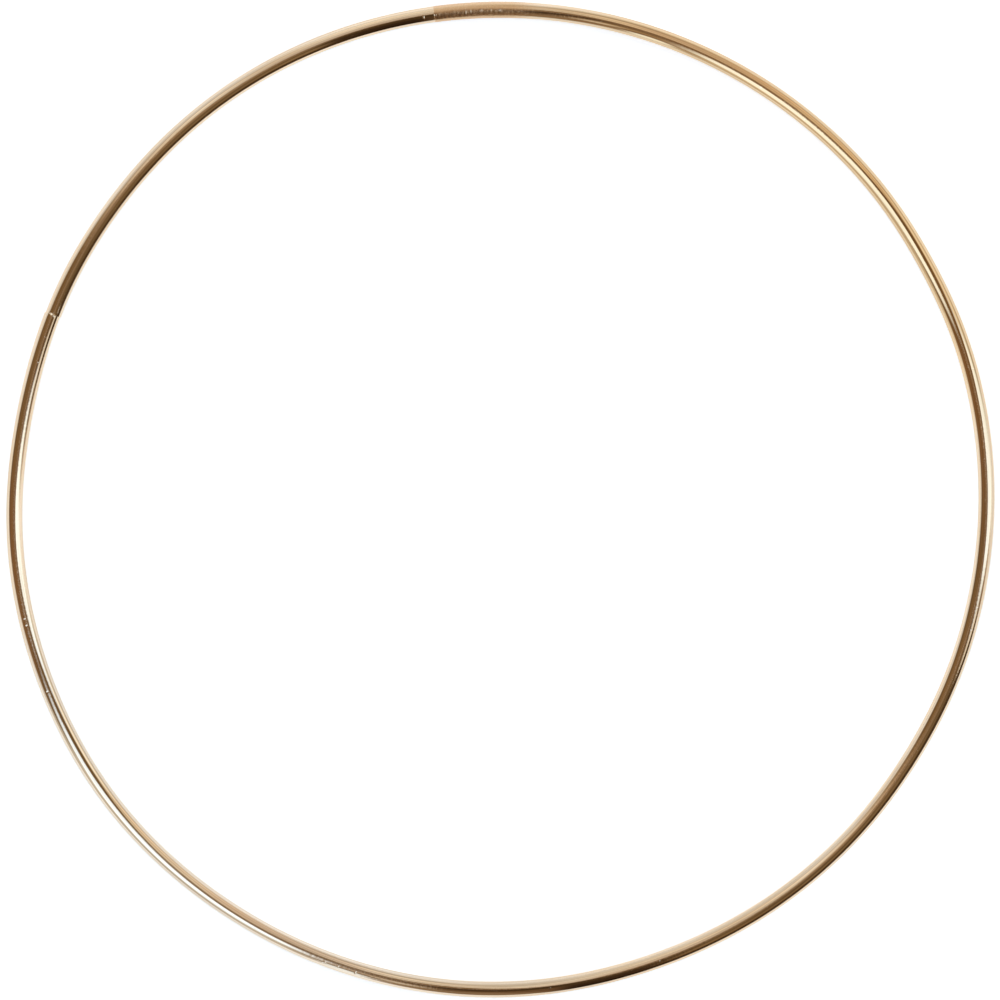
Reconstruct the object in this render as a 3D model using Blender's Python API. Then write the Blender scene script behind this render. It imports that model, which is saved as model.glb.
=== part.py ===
"""Wreath frame: a hoop of thin brass-plated tube, its two square-cut ends closed over a joining pin.

Run with: blender --background --python part.py
Units are metres and +Z is up. The hoop lies flat on z = 0, and the centre of its outline is the origin.
"""

import math

import bmesh
import bpy
from mathutils import Matrix, Vector

# Hoop: overall size, tube section, and how far the rolled ring is from a true circle
OUTER_DIAMETER = 0.300
TUBE_DIAMETER = 0.005
TUBE_WALL = 0.0006
OVAL_DEPTH = 0.00052
OVAL_DIRECTION = math.radians(73.0)
EGG_DEPTH = 0.00014
EGG_DIRECTION = math.radians(16.0)

# Places where the ring was rolled flatter, or fuller where the depth is negative, as
# (direction in degrees, depth in metres, spread in degrees). The first two are the ends at the seam.
ROLLED_FLATS = (
    (145, 0.00097, 17),
    (169, 0.00135, 14),
    (217, -0.00072, 16),
    (288, 0.00051, 14),
    (328, 0.00022, 8),
    (29, 0.00039, 8),
)

# Seam: where the tube's two ends meet, the space between them, and how far they are out of line
SEAM_DIRECTION = math.radians(157.5)
SEAM_GAP = 0.0009
SEAM_STEP = 0.0003
SEAM_STEP_FADE = math.radians(4.0)

# Joining pin: a short steel rod inside both ends
PIN_DIAMETER = 0.0028
PIN_LENGTH = 0.030
PIN_CHAMFER = 0.0004

# Solder: a thin C-shaped band in the seam, run round the pin. It starts just above the hoop's outer
# side, and goes over the pin and down past the inner side. Its start is measured from the outer side.
SOLDER_WIDTH = 0.0003
SOLDER_INNER_RADIUS = 0.00172
SOLDER_OUTER_RADIUS = 0.00235
SOLDER_START = math.radians(20.0)
SOLDER_SWEEP = math.radians(270.0)

# Facets
HOOP_STATIONS = 121
HOOP_BEVEL_RESOLUTION = 5
PIN_STATIONS = 11
PIN_BEVEL_RESOLUTION = 3
SOLDER_STEPS = 25

TUBE_RADIUS = TUBE_DIAMETER / 2
MEAN_RADIUS = OUTER_DIAMETER / 2 - TUBE_RADIUS


def rolled_radius(angle):
    """Distance from the rolling centre to the tube's centre line, in the given direction."""
    radius = MEAN_RADIUS
    radius += OVAL_DEPTH * math.cos(2 * (angle - OVAL_DIRECTION))
    radius += EGG_DEPTH * math.cos(3 * (angle - EGG_DIRECTION))
    for direction, depth, spread in ROLLED_FLATS:
        away = math.degrees(math.remainder(angle - math.radians(direction), math.tau))
        radius -= depth * math.exp(-((away / spread) ** 2))
    return radius


def end_offset(angle):
    """How far the tube is out of line near the seam: in before it, out after it, fading with distance."""
    past_seam = math.remainder(angle - SEAM_DIRECTION, math.tau)
    return math.copysign(SEAM_STEP / 2, past_seam) * math.exp(-abs(past_seam) / SEAM_STEP_FADE)


def outline_centre():
    """Centre of the ring's outline box, measured from the rolling centre."""
    angles = [math.radians(degree) for degree in range(360)]
    across = [rolled_radius(angle) * math.cos(angle) for angle in angles]
    along = [rolled_radius(angle) * math.sin(angle) for angle in angles]
    return Vector(((min(across) + max(across)) / 2, (min(along) + max(along)) / 2, 0.0))


CENTRE = outline_centre()


def centre_line(angle, offset=0.0):
    """Point on the tube's centre line in the part's frame."""
    radius = rolled_radius(angle) + offset
    return Vector((radius * math.cos(angle), radius * math.sin(angle), TUBE_RADIUS)) - CENTRE


def spaced(first, last, count):
    """Evenly spaced values from first to last."""
    return [first + (last - first) * step / (count - 1) for step in range(count)]


def material(name, colour, roughness):
    """Metal with one colour and roughness."""
    metal = bpy.data.materials.new(name)
    metal.use_nodes = True
    shader = metal.node_tree.nodes["Principled BSDF"]
    shader.inputs["Base Color"].default_value = (*colour, 1.0)
    shader.inputs["Metallic"].default_value = 1.0
    shader.inputs["Roughness"].default_value = roughness
    return metal


def sides(bevel_resolution):
    """Number of sides that a round curve bevel has."""
    return 4 + 2 * bevel_resolution


def tube_curve(name, points, radius, bevel_resolution, end_scales=None, filled=False):
    """Round bar along the points, with its flat sides at the given radius."""
    curve = bpy.data.curves.new(name, "CURVE")
    curve.dimensions = "3D"
    curve.twist_mode = "Z_UP"
    curve.bevel_depth = radius / math.cos(math.pi / sides(bevel_resolution))
    curve.bevel_resolution = bevel_resolution
    curve.use_fill_caps = filled
    spline = curve.splines.new("POLY")
    spline.points.add(len(points) - 1)
    for index, point in enumerate(points):
        spline.points[index].co = (*point, 1.0)
    if end_scales:
        spline.points[0].radius = end_scales
        spline.points[-1].radius = end_scales
    spline.use_smooth = True
    shape = bpy.data.objects.new(name, curve)
    bpy.context.scene.collection.objects.link(shape)
    return shape


def make_hoop_tube():
    """The hoop: a hollow tube bent right round, with open, square-cut ends."""
    half_gap = math.asin(SEAM_GAP / 2 / rolled_radius(SEAM_DIRECTION))
    angles = spaced(SEAM_DIRECTION + half_gap, SEAM_DIRECTION + math.tau - half_gap, HOOP_STATIONS)
    points = [centre_line(angle, end_offset(angle)) for angle in angles]
    hoop = tube_curve("hoop_tube", points, TUBE_RADIUS, HOOP_BEVEL_RESOLUTION)
    wall = hoop.modifiers.new("tube wall", "SOLIDIFY")
    wall.thickness = TUBE_WALL
    wall.offset = -1.0
    wall.use_even_offset = True
    hoop.data.materials.append(material("brass plate", (0.62, 0.40, 0.17), 0.18))
    return hoop


def make_joining_pin():
    """The pin: a solid rod with chamfered ends, bent like the hoop and held inside both of its ends."""
    reach = PIN_LENGTH / 2 / rolled_radius(SEAM_DIRECTION)
    chamfer = PIN_CHAMFER / rolled_radius(SEAM_DIRECTION)
    inner = spaced(SEAM_DIRECTION - reach + chamfer, SEAM_DIRECTION + reach - chamfer, PIN_STATIONS)
    angles = [SEAM_DIRECTION - reach, *inner, SEAM_DIRECTION + reach]
    points = [centre_line(angle) for angle in angles]
    end_scale = 1 - 2 * PIN_CHAMFER / PIN_DIAMETER
    pin = tube_curve("joining_pin", points, PIN_DIAMETER / 2, PIN_BEVEL_RESOLUTION, end_scale, filled=True)
    pin.data.materials.append(material("bare steel", (0.42, 0.41, 0.40), 0.35))
    return pin


def make_solder_bead():
    """The solder: a thin C-shaped band round the pin, in the space between the tube's ends."""
    half = SOLDER_WIDTH / 2
    corners = [
        (SOLDER_INNER_RADIUS, -half),
        (SOLDER_OUTER_RADIUS, -half),
        (SOLDER_OUTER_RADIUS, half),
        (SOLDER_INNER_RADIUS, half),
    ]
    bead = bmesh.new()
    profile = bead.faces.new([bead.verts.new((radius, along, 0.0)) for radius, along in corners])
    bmesh.ops.spin(
        bead,
        geom=[profile, *profile.edges, *profile.verts],
        axis=(0.0, -1.0, 0.0),
        cent=(0.0, 0.0, 0.0),
        angle=SOLDER_SWEEP,
        steps=SOLDER_STEPS,
    )
    bmesh.ops.recalc_face_normals(bead, faces=bead.faces)
    mesh = bpy.data.meshes.new("solder_bead")
    bead.to_mesh(mesh)
    bead.free()
    mesh.shade_smooth()
    mesh.set_sharp_from_angle(angle=math.radians(40))
    solder = bpy.data.objects.new("solder_bead", mesh)
    bpy.context.scene.collection.objects.link(solder)
    place = Matrix.Translation(centre_line(SEAM_DIRECTION))
    along_tube = Matrix.Rotation(SEAM_DIRECTION, 4, "Z")
    solder.matrix_world = place @ along_tube @ Matrix.Rotation(-SOLDER_START, 4, "Y")
    mesh.materials.append(material("solder", (0.78, 0.74, 0.66), 0.30))
    return solder


def main():
    for leftover in list(bpy.data.objects):
        bpy.data.objects.remove(leftover, do_unlink=True)
    make_hoop_tube()
    make_joining_pin()
    make_solder_bead()


main()
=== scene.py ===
"""Looks of the wreath frame: a polished brass-plated hoop of thin tube, closed over a joining pin.

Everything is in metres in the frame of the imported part: the hoop lies flat on z = 0 round the origin.
A place on the tube is given by two angles. The direction goes round the hoop from +X towards +Y, and
the turn goes round the tube's own section, from the outward side upwards. The tube starts and ends at
the seam, at 157.5 degrees, so directions on it run from there to 517.5 degrees.
"""

import math

import bpy
import numpy as np
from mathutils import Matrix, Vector, noise


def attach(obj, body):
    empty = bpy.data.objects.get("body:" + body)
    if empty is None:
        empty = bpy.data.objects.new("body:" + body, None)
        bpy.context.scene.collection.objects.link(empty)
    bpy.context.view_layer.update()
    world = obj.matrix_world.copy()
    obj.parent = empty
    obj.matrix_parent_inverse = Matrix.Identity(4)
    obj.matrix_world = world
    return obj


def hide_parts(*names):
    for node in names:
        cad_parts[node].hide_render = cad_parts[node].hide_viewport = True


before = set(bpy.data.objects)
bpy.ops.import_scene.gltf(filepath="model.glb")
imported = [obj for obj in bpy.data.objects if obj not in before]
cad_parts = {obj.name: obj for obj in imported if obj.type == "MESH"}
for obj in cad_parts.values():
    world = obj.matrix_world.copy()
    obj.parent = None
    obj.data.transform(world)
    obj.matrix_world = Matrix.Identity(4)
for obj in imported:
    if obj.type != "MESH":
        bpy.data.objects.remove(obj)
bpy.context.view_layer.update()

MM = 0.001

# Tube and hoop. The hoop's outline repeats the shape that the CAD part gives it, with the rolled flats
# as (direction in degrees, depth, spread in degrees).
TUBE_RADIUS = 2.5 * MM
TUBE_WALL = 0.6 * MM
MEAN_RADIUS = 147.5 * MM
OVAL_DEPTH = 0.52 * MM
OVAL_DIRECTION = math.radians(73.0)
EGG_DEPTH = 0.14 * MM
EGG_DIRECTION = math.radians(16.0)
ROLLED_FLATS = (
    (145, 0.97 * MM, 17),
    (169, 1.35 * MM, 14),
    (217, -0.72 * MM, 16),
    (288, 0.51 * MM, 14),
    (328, 0.22 * MM, 8),
    (29, 0.39 * MM, 8),
)

# Seam between the tube's two ends
SEAM_DIRECTION = math.radians(157.5)
SEAM_GAP = 0.06 * MM
SEAM_STEP = 0.3 * MM
SEAM_STEP_FADE = math.radians(4.0)

# The ends' broken edges: their size, how bare they are, and their profile as (distance from the end,
# drop below the tube's surface), both as shares of the size
EDGE_BREAK = 0.03 * MM
EDGE_WEAR = 0.3
BROKEN_EDGE = [(0.0, 0.55), (0.12, 0.25), (0.45, 0.06), (1.0, 0.0)]

# Joining pin, with its ends rounded off
PIN_RADIUS = 1.4 * MM
PIN_LENGTH = 30.0 * MM
PIN_ROUNDING = 0.45 * MM
PIN_SIDES = 48
PIN_SPACING = 0.5 * MM
PIN_FACE_RINGS = (0.01, 0.35, 0.7)
PIN_ROUNDING_TURNS = (0, 15, 30, 45, 60, 75, 90)

# Solder: it fills the seam round the pin from its start turn on. Between the cap's two turns it stands
# out of the seam, widest at the lump, highest on one side, and a little uneven.
SOLDER_INNER_RADIUS = 1.65 * MM
SOLDER_SUNK_RADIUS = 2.25 * MM
SOLDER_SUNK_DOME = 0.02 * MM
SOLDER_NECK_HALF_WIDTH = 0.028 * MM
SOLDER_CAP_BASE_RADIUS = 2.43 * MM
SOLDER_CAP_RISE = 0.32 * MM
SOLDER_CAP_LEAN = 0.75
SOLDER_CAP_HALF_WIDTH = 0.18 * MM
SOLDER_LUMP_HALF_WIDTH = 0.38 * MM
SOLDER_LUMP_TURN = math.radians(80.0)
SOLDER_LUMP_SPREAD = math.radians(13.0)
SOLDER_START = math.radians(20.0)
SOLDER_CAP_START = math.radians(65.0)
SOLDER_CAP_FADE_IN = math.radians(7.0)
SOLDER_CAP_FADE_OUT = math.radians(12.0)
SOLDER_CAP_END = math.radians(118.0)
SOLDER_LOWEST_CAP = 0.75
SOLDER_UNEVENNESS = 0.2
SOLDER_UNEVEN_FREQUENCY = 6.0
SOLDER_SWEEP = math.radians(270.0)
SOLDER_STEPS = 200
SOLDER_CAP_POINTS = 25
SOLDER_NECK_POINTS = 5

# Stretches of the hoop where the plate is a deeper gold and a paler one: their middles' directions, and
# how far from the middle the colour starts to fade and ends
DEEP_STRETCH = math.radians(405.0)
PALE_STRETCH = math.radians(230.0)
STRETCH_CORE = 60.0 * MM
STRETCH_REACH = 115.0 * MM

# Scuffed stretch, where the plate is redder and duller: it fades in from its start and stops at a
# sharp edge
SCUFF_START = math.radians(444.5)
SCUFF_FULL = math.radians(449.0)
SCUFF_END = math.radians(457.6)
SCUFF_EDGE = 0.15 * MM

# Mesh density. Rings stand closer near a nick, as far as its reach, counted in half lengths of the nick.
TUBE_SIDES = 72
STATION_SPACING = 1.0 * MM
NICK_SPACING = 0.09 * MM
NICK_REACH = 2.5
FEWEST_NICK_STEPS = 6
CLOSEST_RINGS = 0.3 * NICK_SPACING
BORE_RINGS_APART = 8

# Die lines left by drawing the tube, as a slight unevenness of its section
DIE_LINE_HEIGHT = 0.0016 * MM
DIE_LINE_COUNTS = (5, 8, 11, 15)


def rolled_radius(angle):
    """Distance from the rolling centre to the tube's centre line: oval, egg-shaped and flat in places."""
    radius = MEAN_RADIUS
    radius += OVAL_DEPTH * math.cos(2 * (angle - OVAL_DIRECTION))
    radius += EGG_DEPTH * math.cos(3 * (angle - EGG_DIRECTION))
    for direction, depth, spread in ROLLED_FLATS:
        away = math.degrees(math.remainder(angle - math.radians(direction), math.tau))
        radius -= depth * math.exp(-((away / spread) ** 2))
    return radius


def end_offset(angle):
    """How far the tube is out of line near the seam: in before it, out after it."""
    past_seam = math.remainder(angle - SEAM_DIRECTION, math.tau)
    return math.copysign(SEAM_STEP / 2, past_seam) * math.exp(-abs(past_seam) / SEAM_STEP_FADE)


def outline_centre():
    """Centre of the hoop's outline box, measured from the rolling centre."""
    angles = [math.radians(degree) for degree in range(360)]
    across = [rolled_radius(angle) * math.cos(angle) for angle in angles]
    along = [rolled_radius(angle) * math.sin(angle) for angle in angles]
    return Vector(((min(across) + max(across)) / 2, (min(along) + max(along)) / 2, 0.0))


CENTRE = outline_centre()


def centre_line(angle, offset=0.0):
    """Point on the tube's centre line."""
    radius = rolled_radius(angle) + offset
    return Vector((radius * math.cos(angle), radius * math.sin(angle), TUBE_RADIUS)) - CENTRE


def outward(angle, offset=0.0):
    """Level direction square to the centre line, away from the middle of the hoop."""
    step = math.radians(0.05)
    before = centre_line(angle - step, offset)
    after = centre_line(angle + step, offset)
    along = (after - before).normalized()
    return along.cross(Vector((0.0, 0.0, 1.0))).normalized()


# Nicks and scuffs in the tube: direction and turn in degrees, length along and across the tube in
# millimetres, and depth in hundredths of a millimetre
NICKS = [
    (98.9, 104, 0.45, 0.65, 7.0),
    (97.4, 100, 0.25, 0.40, 2.5),
    (93.9, 98, 0.18, 0.95, 6.0),
    (93.3, 96, 0.20, 1.00, 6.0),
    (92.1, 94, 0.75, 0.45, 5.0),
    (90.9, 92, 0.25, 0.45, 2.5),
    (89.9, 95, 1.00, 0.45, 5.0),
    (163.4, 100, 0.35, 0.35, 2.0),
    (160.3, 95, 0.30, 0.30, 2.0),
    (194.2, 78, 0.40, 0.40, 4.0),
    (195.0, 80, 0.45, 0.35, 4.0),
    (203.1, 83, 0.35, 0.60, 5.0),
    (249.4, 66, 0.25, 0.40, 3.0),
    (251.0, 68, 0.20, 0.50, 2.5),
    (253.1, 66, 0.30, 0.65, 5.0),
    (289.2, 84, 0.12, 0.55, 2.5),
    (276.0, 80, 0.70, 0.25, 2.0),
    (344.6, 70, 0.40, 0.30, 2.0),
    (347.3, 66, 0.30, 0.30, 2.0),
    (15.4, 70, 0.15, 0.60, 2.0),
    (51.2, 108, 0.25, 0.35, 2.0),
    (57.6, 106, 0.60, 0.30, 2.0),
    (136.0, 78, 0.45, 0.30, 1.5),
    (225.0, 20, 0.40, 0.50, 2.5),
    (311.0, 10, 0.30, 0.60, 2.5),
    (30.0, -5, 0.35, 0.45, 2.5),
    (118.0, 12, 0.25, 0.60, 2.0),
]


def arc_length(angle):
    """Rough distance along the tube, good enough to place marks and grain."""
    return (angle - SEAM_DIRECTION) * MEAN_RADIUS


def nick_places():
    """Nicks as (direction, turn, half length along, half length across, depth) in metres and radians."""
    places = []
    for direction, turn, along, across, depth in NICKS:
        angle = SEAM_DIRECTION + (math.radians(direction) - SEAM_DIRECTION) % math.tau
        places.append((angle, math.radians(turn), along * MM / 2, across * MM / 2, depth * MM / 100))
    return places


def station_angles():
    """Directions of the tube's rings: evenly spaced, with closer ones at each nick."""
    half_gap = SEAM_GAP / 2 / rolled_radius(SEAM_DIRECTION)
    first = SEAM_DIRECTION + half_gap
    last = SEAM_DIRECTION + math.tau - half_gap
    count = round((last - first) * MEAN_RADIUS / STATION_SPACING)
    angles = list(np.linspace(first, last, count + 1))
    for angle, _, along, _, _ in nick_places():
        reach = NICK_REACH * along / MEAN_RADIUS
        steps = max(FEWEST_NICK_STEPS, round(2 * NICK_REACH * along / NICK_SPACING))
        angles += list(np.linspace(angle - reach, angle + reach, steps + 1))
    angles = sorted(angle for angle in angles if first <= angle <= last)
    kept = [angles[0]]
    for angle in angles[1:]:
        if angle - kept[-1] > CLOSEST_RINGS / MEAN_RADIUS:
            kept.append(angle)
    return kept


def die_lines(turns, angle):
    """Unevenness of the tube's section at one station, which twists slowly along the tube."""
    height = np.zeros_like(turns)
    for index, count in enumerate(DIE_LINE_COUNTS):
        phase = 1.7 * index + 0.35 * math.sin(angle * (index + 1) / 2)
        height += np.cos(count * turns + phase)
    return height * DIE_LINE_HEIGHT / len(DIE_LINE_COUNTS)


def nick_shape(angle, turns, places):
    """Depth and wear at one station's points, from the nicks nearby: each is a smooth dent."""
    farthest = 3.0
    depth = np.zeros_like(turns)
    wear = np.zeros_like(turns)
    for place, turn, along, across, deep in places:
        near = (angle - place) * MEAN_RADIUS / along
        if abs(near) > farthest:
            continue
        aside = np.remainder(turns - turn + math.pi, math.tau) - math.pi
        shape = np.exp(-(near**2) - (aside * TUBE_RADIUS / across) ** 2)
        depth += deep * shape
        wear = np.maximum(wear, shape)
    return depth, wear


def mesh_object(name, points, faces, attributes=None, sharp_angle=35.0):
    """Smooth-shaded mesh object with point attributes."""
    mesh = bpy.data.meshes.new(name)
    mesh.from_pydata([tuple(point) for point in points], [], faces)
    for key, values in (attributes or {}).items():
        kind, field = ("FLOAT_VECTOR", "vector") if values.ndim == 2 else ("FLOAT", "value")
        attribute = mesh.attributes.new(key, kind, "POINT")
        attribute.data.foreach_set(field, values.astype(np.float32).ravel())
    mesh.validate()
    mesh.shade_smooth()
    mesh.set_sharp_from_angle(angle=math.radians(sharp_angle))
    shape = bpy.data.objects.new(name, mesh)
    bpy.context.scene.collection.objects.link(shape)
    return shape


def ring_faces(rings, sides, closed):
    """Quads between rings of points that follow each other. They face out where each ring turns
    anticlockwise, seen the way that the rings run."""
    faces = []
    for ring in range(rings if closed else rings - 1):
        following = (ring + 1) % rings
        for side in range(sides):
            beside = (side + 1) % sides
            near, far = ring * sides, following * sides
            faces.append((near + side, far + side, far + beside, near + beside))
    return faces


def make_hoop_tube(material):
    """The hoop: outer surface with nicks and die lines, broken end edges, and the bore."""
    places = nick_places()
    turns = -math.pi / 2 + np.arange(TUBE_SIDES) * math.tau / TUBE_SIDES
    up = np.array((0.0, 0.0, 1.0))
    inner_radius = TUBE_RADIUS - TUBE_WALL
    points, straight, wear = [], [], []

    def add_ring(angle, radius, ring_wear):
        offset = end_offset(angle)
        middle = np.array(centre_line(angle, offset))
        aside = np.array(outward(angle, offset))
        ring = middle + radius[:, None] * (np.cos(turns)[:, None] * aside + np.sin(turns)[:, None] * up)
        points.append(ring)
        along = np.full(TUBE_SIDES, arc_length(angle))
        straight.append(np.column_stack((along, radius * np.cos(turns), radius * np.sin(turns))))
        wear.append(ring_wear)

    def add_edge_ring(end, towards_middle, back, drop):
        angle = end + towards_middle * back * EDGE_BREAK / MEAN_RADIUS
        radius = TUBE_RADIUS - drop * EDGE_BREAK + die_lines(turns, angle)
        add_ring(angle, radius, even * EDGE_WEAR * (1 - back))

    angles = station_angles()
    first, last = angles[0], angles[-1]
    even = np.ones(TUBE_SIDES)
    for back, drop in BROKEN_EDGE:
        add_edge_ring(first, 1, back, drop)
    for angle in angles[1:-1]:
        depth, ring_wear = nick_shape(angle, turns, places)
        add_ring(angle, TUBE_RADIUS - depth + die_lines(turns, angle), ring_wear)
    for back, drop in reversed(BROKEN_EDGE):
        add_edge_ring(last, -1, back, drop)
    for angle in (last, *reversed(angles[1:-1:BORE_RINGS_APART]), first):
        add_ring(angle, even * inner_radius, even)

    points, straight, wear = np.vstack(points), np.vstack(straight), np.hstack(wear)
    faces = ring_faces(len(points) // TUBE_SIDES, TUBE_SIDES, closed=True)
    hoop = mesh_object("hoop", points, faces, {"straight": straight, "wear": wear})
    hoop.data.materials.append(material)
    return hoop


def make_joining_pin(material):
    """The pin: a cut rod bent like the hoop, with rounded ends."""
    turns = np.arange(PIN_SIDES) * math.tau / PIN_SIDES
    up = np.array((0.0, 0.0, 1.0))
    reach = PIN_LENGTH / 2 / rolled_radius(SEAM_DIRECTION)
    rounding = PIN_ROUNDING / rolled_radius(SEAM_DIRECTION)
    arc = [math.radians(degrees) for degrees in PIN_ROUNDING_TURNS]
    points = []

    def add_ring(angle, radius):
        middle = np.array(centre_line(SEAM_DIRECTION + angle))
        aside = np.array(outward(SEAM_DIRECTION + angle))
        points.append(middle + radius * (np.cos(turns)[:, None] * aside + np.sin(turns)[:, None] * up))

    full = PIN_RADIUS
    ends = [(share * (full - PIN_ROUNDING), 0.0) for share in PIN_FACE_RINGS]
    ends += [(full - PIN_ROUNDING * (1 - math.sin(turn)), 1 - math.cos(turn)) for turn in arc]
    for radius, back in ends:
        add_ring(-reach + rounding * back, radius)
    count = round(PIN_LENGTH / PIN_SPACING)
    for angle in np.linspace(-reach + rounding, reach - rounding, count)[1:-1]:
        add_ring(angle, full)
    for radius, back in reversed(ends):
        add_ring(reach - rounding * back, radius)

    faces = ring_faces(len(points), PIN_SIDES, closed=False)
    faces.append(tuple(range(PIN_SIDES)))
    last = (len(points) - 1) * PIN_SIDES
    faces.append(tuple(reversed(range(last, last + PIN_SIDES))))
    pin = mesh_object("pin", np.vstack(points), faces)
    pin.data.materials.append(material)
    return pin


def solder_section(turn):
    """The solder's outline at one turn: points as (distance from the pin's centre, place along the tube)."""
    lump = math.exp(-(((turn - SOLDER_LUMP_TURN) / SOLDER_LUMP_SPREAD) ** 2))
    rise = min(max((turn - SOLDER_CAP_START) / SOLDER_CAP_FADE_IN, 0.0), 1.0)
    fall = min(max((SOLDER_CAP_END - turn) / SOLDER_CAP_FADE_OUT, 0.0), 1.0)
    standing = math.sqrt(rise * fall)
    uneven = 1 + SOLDER_UNEVENNESS * noise.noise(Vector((turn * SOLDER_UNEVEN_FREQUENCY, 0.3, 0.7)))
    cap = (SOLDER_CAP_HALF_WIDTH + (SOLDER_LUMP_HALF_WIDTH - SOLDER_CAP_HALF_WIDTH) * lump) * uneven
    half_width = SOLDER_NECK_HALF_WIDTH + (cap - SOLDER_NECK_HALF_WIDTH) * standing
    neck_top = SOLDER_SUNK_RADIUS + (SOLDER_CAP_BASE_RADIUS - SOLDER_SUNK_RADIUS) * min(3 * standing, 1.0)
    height = SOLDER_LOWEST_CAP + (1 - SOLDER_LOWEST_CAP) * lump
    dome = SOLDER_SUNK_DOME + SOLDER_CAP_RISE * standing * height
    over = np.linspace(0.0, math.pi, SOLDER_CAP_POINTS)
    slope = 1 - SOLDER_CAP_LEAN * (1 + np.cos(over)) / 2
    down = np.linspace(neck_top - SOLDER_SUNK_DOME, SOLDER_INNER_RADIUS, SOLDER_NECK_POINTS)
    sides = np.full(SOLDER_NECK_POINTS, SOLDER_NECK_HALF_WIDTH)
    radius = np.concatenate((neck_top + dome * np.sqrt(np.abs(np.sin(over))) * slope, down, down[::-1]))
    along = np.concatenate((half_width * np.cos(over), -sides, sides))
    return radius, along


def make_solder_bead(material):
    """The solder: a thin band in the seam, with a cap that swells over the seam's edges on top."""
    middle = np.array(centre_line(SEAM_DIRECTION))
    aside = np.array(outward(SEAM_DIRECTION))
    up = np.array((0.0, 0.0, 1.0))
    along_tube = np.cross(up, aside)
    points = []
    for turn in np.linspace(SOLDER_START, SOLDER_START + SOLDER_SWEEP, SOLDER_STEPS + 1):
        radius, along = solder_section(turn)
        ray = math.cos(turn) * aside + math.sin(turn) * up
        points.append(middle + radius[:, None] * ray + along[:, None] * along_tube)
    around = len(points[0])
    faces = ring_faces(len(points), around, closed=False)
    faces.append(tuple(range(around)))
    last = (len(points) - 1) * around
    faces.append(tuple(reversed(range(last, last + around))))
    bead = mesh_object("solder", np.vstack(points), faces)
    bead.data.materials.append(material)
    return bead


# Materials


class Nodes:
    """Short ways to add and join a node tree's nodes."""

    def __init__(self, tree):
        self.tree = tree

    def add(self, kind, inputs=None, **settings):
        node = self.tree.nodes.new(kind)
        for key, value in settings.items():
            setattr(node, key, value)
        for key, value in (inputs or {}).items():
            self.put(node.inputs[key], value)
        return node

    def put(self, socket, value):
        if isinstance(value, bpy.types.NodeSocket):
            self.tree.links.new(value, socket)
        elif isinstance(value, bpy.types.Node):
            self.tree.links.new(value.outputs[0], socket)
        else:
            socket.default_value = value

    def math(self, operation, *values):
        node = self.add("ShaderNodeMath", operation=operation)
        for socket, value in zip(node.inputs, values):
            self.put(socket, value)
        return node.outputs[0]

    def vector(self, operation, *values):
        node = self.add("ShaderNodeVectorMath", operation=operation)
        for socket, value in zip(node.inputs, values):
            self.put(socket, value)
        return node.outputs["Value" if operation == "DOT_PRODUCT" else "Vector"]

    def ease(self, value, low, high, from_value=0.0, to_value=1.0):
        """Smooth step from one value to another as the input goes from low to high."""
        ends = {"From Min": low, "From Max": high, "To Min": from_value, "To Max": to_value}
        node = self.add("ShaderNodeMapRange", {"Value": value, **ends}, interpolation_type="SMOOTHSTEP")
        return node.outputs[0]

    def mix(self, factor, first, second):
        node = self.add("ShaderNodeMix", data_type="RGBA")
        self.put(node.inputs["Factor"], factor)
        self.put(node.inputs["A"], first)
        self.put(node.inputs["B"], second)
        return node.outputs["Result"]

    def noise(self, place, stretch, detail=2.0):
        """Noise over a place, with its frequency per metre along each axis."""
        stretched = self.vector("MULTIPLY", place, stretch)
        return self.add("ShaderNodeTexNoise", {"Vector": stretched, "Scale": 1.0, "Detail": detail})

    def bump(self, height, distance, **others):
        """Normal for a height of 0 to 1 that stands for the distance in metres."""
        return self.add("ShaderNodeBump", {"Strength": 1.0, "Distance": distance, "Height": height, **others})

    def ramp(self, value, stops):
        node = self.add("ShaderNodeValToRGB")
        ramp = node.color_ramp
        while len(ramp.elements) < len(stops):
            ramp.elements.new(0.5)
        for element, (position, colour) in zip(ramp.elements, stops):
            element.position = position
            element.color = colour
        self.put(node.inputs["Fac"], value)
        return node.outputs["Color"]


def rgb(red, green, blue):
    return (red, green, blue, 1.0)


# The metals' colours
GOLDEN = rgb(0.74, 0.60, 0.437)
REDDER_GOLD = rgb(0.72, 0.565, 0.39)
DEEPER_GOLD = rgb(0.70, 0.515, 0.31)
PALER_GOLD = rgb(0.72, 0.615, 0.485)
SCUFFED_GOLD = rgb(0.63, 0.43, 0.255)
WORN_PLATE = rgb(0.87, 0.77, 0.62)
DARK_STEEL = rgb(0.40, 0.39, 0.38)
LIGHT_STEEL = rgb(0.50, 0.49, 0.47)
RUST = rgb(0.20, 0.11, 0.06)
WASHED_SOLDER = rgb(0.95, 0.78, 0.55)
DULL_SOLDER = rgb(0.88, 0.72, 0.50)

# The plate's textures, as frequencies per metre along the tube and across it
DRAWING_LINES = (18.0, 5200.0, 5200.0)
STREAKS = (14.0, 1300.0, 1300.0)
CLOUDS = (35.0, 160.0, 160.0)
CHATTER = (1100.0, 420.0, 420.0)
HAIRLINES = (260.0, 2600.0, 2600.0)
PIT_FREQUENCY = 420.0

# How much the plate's streaks shade it, how rough it is, what its marks add to that, and their relief
STREAK_SHADES = (0.87, 1.11)
PLATE_ROUGHNESS = (0.05, 0.11)
HAIRLINE_ROUGHNESS = 0.12
PIT_ROUGHNESS = 0.25
SCUFF_ROUGHNESS = 0.16
SCUFF_CHATTER = 5.0
FINE_RELIEF = 0.0008 * MM
CHATTER_RELIEF = 0.012 * MM

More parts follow.
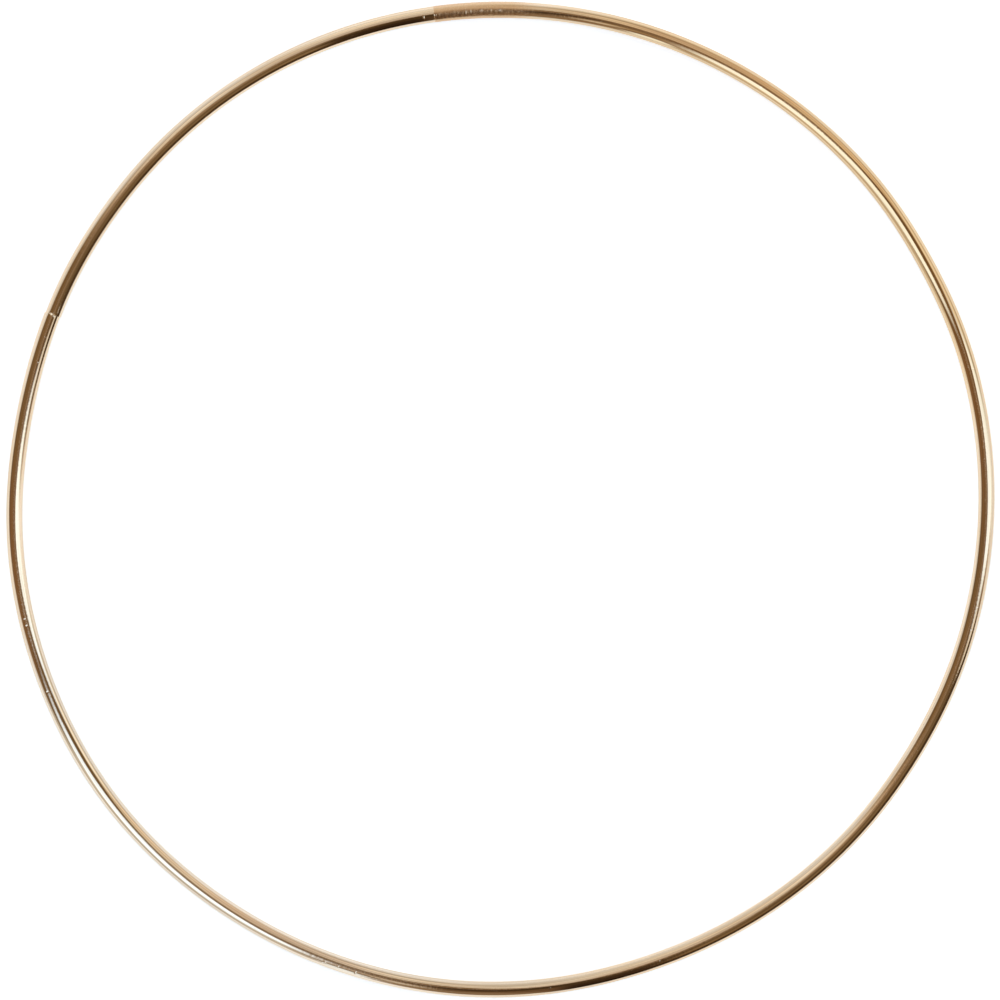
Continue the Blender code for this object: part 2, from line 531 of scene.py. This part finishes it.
# The steel's and the solder's textures, as frequencies per metre the same in every direction
RUST_SPECKS = (2400.0, 2400.0, 2400.0)
STEEL_CLOUDS = (300.0, 300.0, 300.0)
STEEL_ROUGHNESS = (0.28, 0.5)
STEEL_RELIEF = 0.006 * MM
SOLDER_GRAINS = (5200.0, 5200.0, 5200.0)
SOLDER_PATCHES = (900.0, 900.0, 900.0)
SOLDER_ROUGHNESS = (0.15, 0.32)
SOLDER_RELIEF = 0.008 * MM


def new_material(name):
    """Empty Principled material and its node helper."""
    material = bpy.data.materials.new(name)
    material.use_nodes = True
    return material, Nodes(material.node_tree), material.node_tree.nodes["Principled BSDF"]


def brass_plate():
    """Polished brass plate on drawn tube: drawing lines, streaks, hairline scratches, pits and worn spots."""
    material, nodes, shader = new_material("brass plate")
    place = nodes.add("ShaderNodeAttribute", attribute_name="straight").outputs["Vector"]
    wear = nodes.add("ShaderNodeAttribute", attribute_name="wear").outputs["Fac"]
    length = nodes.add("ShaderNodeSeparateXYZ", {"Vector": place}).outputs["X"]

    grain = nodes.noise(place, DRAWING_LINES, 3.0)
    streaks = nodes.noise(place, STREAKS)
    clouds = nodes.noise(place, CLOUDS)
    chatter = nodes.noise(place, CHATTER)
    hairline = nodes.ease(nodes.noise(place, HAIRLINES, 4.0), 0.64, 0.70)
    pits = nodes.add("ShaderNodeTexVoronoi", {"Vector": place, "Scale": PIT_FREQUENCY}, feature="F1")
    chance = nodes.add("ShaderNodeSeparateColor", {"Color": pits.outputs["Color"]}).outputs[0]
    pit = nodes.math("LESS_THAN", pits.outputs["Distance"], nodes.ease(chance, 0.90, 1.0, 0.0, 0.07))

    def stretch(middle):
        from_middle = nodes.math("ABSOLUTE", nodes.math("SUBTRACT", length, arc_length(middle)))
        return nodes.ease(from_middle, STRETCH_CORE, STRETCH_REACH, 1.0, 0.0)

    fade_in = nodes.ease(length, arc_length(SCUFF_START), arc_length(SCUFF_FULL))
    scuff_end = arc_length(SCUFF_END)
    stop = nodes.ease(length, scuff_end - SCUFF_EDGE, scuff_end + SCUFF_EDGE, 1.0, 0.0)
    scuffed = nodes.math("MULTIPLY", fade_in, stop)

    colour = nodes.mix(nodes.ease(clouds, 0.35, 0.65), GOLDEN, REDDER_GOLD)
    colour = nodes.mix(stretch(DEEP_STRETCH), colour, DEEPER_GOLD)
    colour = nodes.mix(stretch(PALE_STRETCH), colour, PALER_GOLD)
    colour = nodes.mix(scuffed, colour, SCUFFED_GOLD)
    colour = nodes.vector("MULTIPLY", colour, nodes.ease(streaks, 0.3, 0.7, *STREAK_SHADES))
    colour = nodes.mix(nodes.math("MAXIMUM", nodes.math("MULTIPLY", pit, 0.7), wear), colour, WORN_PLATE)
    nodes.put(shader.inputs["Base Color"], colour)
    shader.inputs["Metallic"].default_value = 1.0

    rough = nodes.ease(clouds, 0.3, 0.7, *PLATE_ROUGHNESS)
    marks = [(hairline, HAIRLINE_ROUGHNESS), (nodes.math("MAXIMUM", pit, wear), PIT_ROUGHNESS),
             (scuffed, SCUFF_ROUGHNESS)]
    for mark, added in marks:
        rough = nodes.math("ADD", rough, nodes.math("MULTIPLY", mark, added))
    nodes.put(shader.inputs["Roughness"], rough)

    height = nodes.math("MULTIPLY", grain, 0.6)
    height = nodes.math("SUBTRACT", height, nodes.math("MULTIPLY", hairline, 0.5))
    height = nodes.math("SUBTRACT", height, nodes.math("MULTIPLY", pit, 2.0))
    fine = nodes.bump(height, FINE_RELIEF)
    scuff_patches = nodes.math("MULTIPLY", scuffed, SCUFF_CHATTER)
    patches = nodes.math("ADD", nodes.ease(clouds, 0.42, 0.58), scuff_patches)
    ripple = nodes.bump(nodes.math("MULTIPLY", chatter, patches), CHATTER_RELIEF, Normal=fine)
    nodes.put(shader.inputs["Normal"], ripple)
    return material


def bare_steel():
    """Cut steel rod: dull, clouded and uneven, with specks of rust."""
    material, nodes, shader = new_material("bare steel")
    place = nodes.add("ShaderNodeTexCoord").outputs["Object"]
    specks = nodes.noise(place, RUST_SPECKS, 3.0)
    clouds = nodes.noise(place, STEEL_CLOUDS)
    steel = nodes.mix(nodes.ease(clouds, 0.3, 0.7), DARK_STEEL, LIGHT_STEEL)
    colour = nodes.mix(nodes.ease(specks, 0.62, 0.72), steel, RUST)
    nodes.put(shader.inputs["Base Color"], colour)
    shader.inputs["Metallic"].default_value = 1.0
    nodes.put(shader.inputs["Roughness"], nodes.ease(specks, 0.3, 0.7, *STEEL_ROUGHNESS))
    nodes.put(shader.inputs["Normal"], nodes.bump(specks, STEEL_RELIEF))
    return material


def solder_metal():
    """Solder under a thin wash of the plate: bright, with a grainy skin and duller patches."""
    material, nodes, shader = new_material("solder")
    place = nodes.add("ShaderNodeTexCoord").outputs["Object"]
    grains = nodes.noise(place, SOLDER_GRAINS, 3.0)
    patches = nodes.noise(place, SOLDER_PATCHES)
    colour = nodes.mix(nodes.ease(patches, 0.35, 0.65), WASHED_SOLDER, DULL_SOLDER)
    nodes.put(shader.inputs["Base Color"], colour)
    shader.inputs["Metallic"].default_value = 0.9
    nodes.put(shader.inputs["Roughness"], nodes.ease(grains, 0.3, 0.7, *SOLDER_ROUGHNESS))
    nodes.put(shader.inputs["Normal"], nodes.bump(grains, SOLDER_RELIEF))
    return material


# Surroundings


BROWN = rgb(0.203, 0.125, 0.060)
RED_BROWN = rgb(0.258, 0.146, 0.070)
OLIVE_BROWN = rgb(0.224, 0.152, 0.083)
MID_BROWN = rgb(0.40, 0.29, 0.19)
DIM_BROWN = rgb(0.29, 0.205, 0.13)
UMBER = rgb(0.14, 0.082, 0.043)
DARK = rgb(0.036, 0.020, 0.010)
DUSK = rgb(0.070, 0.042, 0.019)
DEEP_TAN = rgb(0.69, 0.545, 0.415)
DULL_TAN = rgb(0.58, 0.485, 0.40)
TAN = rgb(0.72, 0.61, 0.48)
PALE_TAN = rgb(0.70, 0.62, 0.52)
CREAM = rgb(0.84, 0.80, 0.74)
BEIGE = rgb(0.71, 0.64, 0.565)
GREIGE = rgb(0.66, 0.61, 0.53)
SHEEN = rgb(1.12, 1.06, 0.93)
SAND = rgb(0.86, 0.71, 0.52)
PALE = rgb(0.88, 0.90, 0.94)
GLOW = rgb(1.06, 1.18, 1.30)
LAMP = rgb(1.30, 1.52, 1.78)
WHITE = rgb(1.0, 1.0, 1.0)
CEILING = rgb(0.28, 0.19, 0.12)

# The room round the horizon, as (azimuth in degrees, colour) for its walls and for what is below them
WALLS = [
    (0, BROWN), (22, BROWN), (36, SAND), (42, SAND), (48, TAN), (52, TAN), (57, DEEP_TAN), (66, DULL_TAN),
    (72, DULL_TAN), (76, PALE_TAN), (84, PALE_TAN), (95, CREAM), (106, CREAM), (119, BEIGE), (129, CREAM),
    (137, BEIGE), (145, MID_BROWN), (151, BROWN), (172, BROWN), (184, RED_BROWN), (197, RED_BROWN),
    (203, BROWN), (244, DIM_BROWN), (257, DIM_BROWN), (263, UMBER), (277, UMBER), (279.5, DARK),
    (289.5, DARK), (293, OLIVE_BROWN), (335, OLIVE_BROWN), (342, BROWN), (360, BROWN),
]
BELOW_WALLS = [
    (0, GLOW), (7, GLOW), (15, GREIGE), (26, GREIGE), (38, CREAM), (60, CREAM), (80, PALE), (140, PALE),
    (200, PALE), (209, GREIGE), (244, GREIGE), (250, PALE), (258, BEIGE), (284, BEIGE), (300, PALE),
    (342, PALE), (346, BEIGE), (353, BEIGE), (359, GLOW), (360, GLOW),
]

# How far down the walls reach, as (azimuth, zenith angle), and how soft their lower edge is
WALL_FEET = [
    (0, 56), (10, 62), (24, 72), (48, 74), (70, 72), (98, 68), (118, 60), (136, 60), (146, 58), (157, 60),
    (168, 73), (178, 78), (188, 73), (203, 67), (250, 76), (262, 85), (276, 85), (279, 104), (300, 108),
    (314, 100), (328, 106), (338, 100), (345, 84), (352, 70), (357, 60), (360, 56),
]
FOOT_SOFTNESS = 9.0
LOWEST_FOOT = 120.0

# Things in the room, as (colour, softness of the edge, corners): ones that hang on the walls and end where
# the walls end, and ones that stand in front. Corners are (azimuth, zenith angle), all in degrees.
WALL_CARDS = [
    (DUSK, 4, [(288, 60), (300, 54), (338, 54), (347, 64), (347, 110), (288, 110)]),
    (DIM_BROWN, 4, [(257, 54), (270, 42), (276, 62), (276, 84), (258, 84)]),
    (DUSK, 4, [(258, -8), (291, -8), (291, 26), (277, 30), (266, 32), (258, 18)]),
    (BROWN, 4, [(12, -8), (48, -8), (45, 16), (34, 32), (20, 36)]),
    (BROWN, 3, [(74, -8), (97, -8), (92, 18), (80, 18)]),
    (MID_BROWN, 3, [(121, -8), (143, -8), (141, 17), (129, 18)]),
    (BEIGE, 4, [(96, 4), (121, 4), (121, 26), (96, 26)]),
]
FRONT_CARDS = [
    (SHEEN, 5, [(17, 48), (24, 40), (34, 40), (37, 60), (30, 72), (20, 68)]),
    (GLOW, 1.5, [(249, 60), (252, 54), (255, 62), (254, 90), (249, 90)]),
    (PALE_TAN, 1.5, [(255, 32), (260, 29), (262, 47), (257, 53)]),
    (CREAM, 1, [(339, 42), (347, 37), (347, 62), (339, 58)]),
    (GREIGE, 5, [(204, 64), (212, 46), (246, 50), (247, 86), (205, 86)]),
    (LAMP, 5, [(345, 40), (352, 19), (363, 14), (383, 34), (378, 60), (366, 70), (352, 58)]),
    (LAMP, 4, [(202, 18), (206, 0), (219, 0), (226, 12), (226, 54), (215, 52), (206, 38)]),
    (LAMP, 4, [(219, 14), (246, 17), (247, 46), (238, 57), (224, 58)]),
]

# The ceiling gives way to the walls between two zenith angles. The far floor starts at another one, or
# where the walls end if that is lower.
CEILING_EDGE = (5.0, 15.0)
FAR_FLOOR_TOP = 83.0
FAR_FLOOR_SOFTNESS = 6.0

# Uneven shelves and clutter on the walls: the noise's frequency along each axis, and how far it darkens
# and lightens them
CLUTTER_FREQUENCY = (2.5, 2.5, 12.0)
CLUTTER_RANGE = (0.62, 1.38)

ROOM_STRENGTH = 1.14
FLOOR_HALF_SIZE = 60.0
FLOOR_COLOUR = rgb(0.95, 0.95, 0.95)
FLOOR_GLOW = rgb(0.53, 0.59, 0.66)


def azimuth_ramp(nodes, share, stops):
    """Colours by direction round the horizon, given as (degrees, colour) from 0 to 360."""
    return nodes.ramp(share, [(degrees / 360, colour) for degrees, colour in stops])


def card(nodes, azimuth, zenith, corners, soft):
    """Factor that is 1 inside a convex card, given by its corners' azimuths and zenith angles in degrees."""
    middle = Vector([sum(values) / len(corners) for values in zip(*corners)])
    turned = nodes.math("WRAP", nodes.math("SUBTRACT", azimuth, middle.x), 180.0, -180.0)
    place = nodes.add("ShaderNodeCombineXYZ", {"X": turned, "Y": zenith, "Z": 1.0})
    inside = None
    for first, second in zip(corners, corners[1:] + corners[:1]):
        first, second = Vector(first), Vector(second)
        square = Vector((second.y - first.y, first.x - second.x)).normalized()
        if square.dot(middle - first) < 0:
            square.negate()
        inward = (square.x, square.y, square.x * (middle.x - first.x) - square.y * first.y)
        edge = nodes.ease(nodes.vector("DOT_PRODUCT", place, inward), -soft, soft)
        inside = edge if inside is None else nodes.math("MINIMUM", inside, edge)
    return inside


def make_world():
    """Studio round the hoop: a dim warm room with pale low surroundings, and big soft lamps."""
    world = bpy.data.worlds.new("studio")
    bpy.context.scene.world = world
    world.use_nodes = True
    nodes = Nodes(world.node_tree)
    direction = nodes.add("ShaderNodeTexCoord").outputs["Generated"]
    parts = nodes.add("ShaderNodeSeparateXYZ", {"Vector": direction})
    turn = nodes.math("ARCTAN2", parts.outputs["Y"], parts.outputs["X"])
    share = nodes.math("FRACT", nodes.math("DIVIDE", turn, math.tau))
    azimuth = nodes.math("MULTIPLY", share, 360.0)
    zenith = nodes.math("MULTIPLY", nodes.math("ARCCOSINE", parts.outputs["Z"]), 180 / math.pi)

    room = azimuth_ramp(nodes, share, WALLS)
    clutter = nodes.noise(direction, CLUTTER_FREQUENCY, 3.0)
    room = nodes.vector("MULTIPLY", room, nodes.ease(clutter, 0.35, 0.65, *CLUTTER_RANGE))
    room = nodes.mix(nodes.ease(zenith, *CEILING_EDGE), CEILING, room)
    for colour, soft, corners in WALL_CARDS:
        room = nodes.mix(card(nodes, azimuth, zenith, corners, soft), room, colour)

    feet = [(degrees, rgb(*[foot / LOWEST_FOOT] * 3)) for degrees, foot in WALL_FEET]
    foot = nodes.math("MULTIPLY", azimuth_ramp(nodes, share, feet), LOWEST_FOOT)
    below = nodes.ease(nodes.math("SUBTRACT", zenith, foot), -FOOT_SOFTNESS, FOOT_SOFTNESS)
    room = nodes.mix(below, room, azimuth_ramp(nodes, share, BELOW_WALLS))
    floor_top = nodes.math("MAXIMUM", foot, FAR_FLOOR_TOP)
    far_floor = nodes.ease(nodes.math("SUBTRACT", zenith, floor_top), 0.0, FAR_FLOOR_SOFTNESS)
    room = nodes.mix(far_floor, room, WHITE)
    for colour, soft, corners in FRONT_CARDS:
        room = nodes.mix(card(nodes, azimuth, zenith, corners, soft), room, colour)

    background = world.node_tree.nodes["Background"]
    nodes.put(background.inputs["Color"], room)
    background.inputs["Strength"].default_value = ROOM_STRENGTH


def make_floor():
    """Wide plain floor, pale enough to stay white under the hoop."""
    size = FLOOR_HALF_SIZE
    corners = [(-size, -size, 0.0), (size, -size, 0.0), (size, size, 0.0), (-size, size, 0.0)]
    floor = mesh_object("floor", corners, [(0, 1, 2, 3)])
    material, _, shader = new_material("floor")
    shader.inputs["Base Color"].default_value = FLOOR_COLOUR
    shader.inputs["Roughness"].default_value = 0.9
    shader.inputs["Specular IOR Level"].default_value = 0.0
    shader.inputs["Emission Color"].default_value = FLOOR_GLOW
    shader.inputs["Emission Strength"].default_value = 1.0
    floor.data.materials.append(material)


def make_camera():
    """Long lens straight above the hoop, a hair off its middle."""
    place = Vector((-0.13 * MM, -0.1 * MM, 3.0))
    frame_width = 301.9 * MM
    data = bpy.data.cameras.new("camera")
    data.sensor_width = 36.0
    data.lens = data.sensor_width * (place.z - TUBE_RADIUS) / frame_width
    data.clip_end = 100.0
    camera = bpy.data.objects.new("camera", data)
    camera.location = place
    bpy.context.scene.collection.objects.link(camera)
    bpy.context.scene.camera = camera


pieces = [
    (make_hoop_tube(brass_plate()), "hoop_tube", "brass_plate"),
    (make_joining_pin(bare_steel()), "joining_pin", "bare_steel"),
    (make_solder_bead(solder_metal()), "solder_bead", "solder"),
]
for piece, node, slot in pieces:
    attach(piece, "root")
    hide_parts(node)

make_world()
make_floor()
make_camera()
bpy.context.scene.view_settings.view_transform = "Standard"
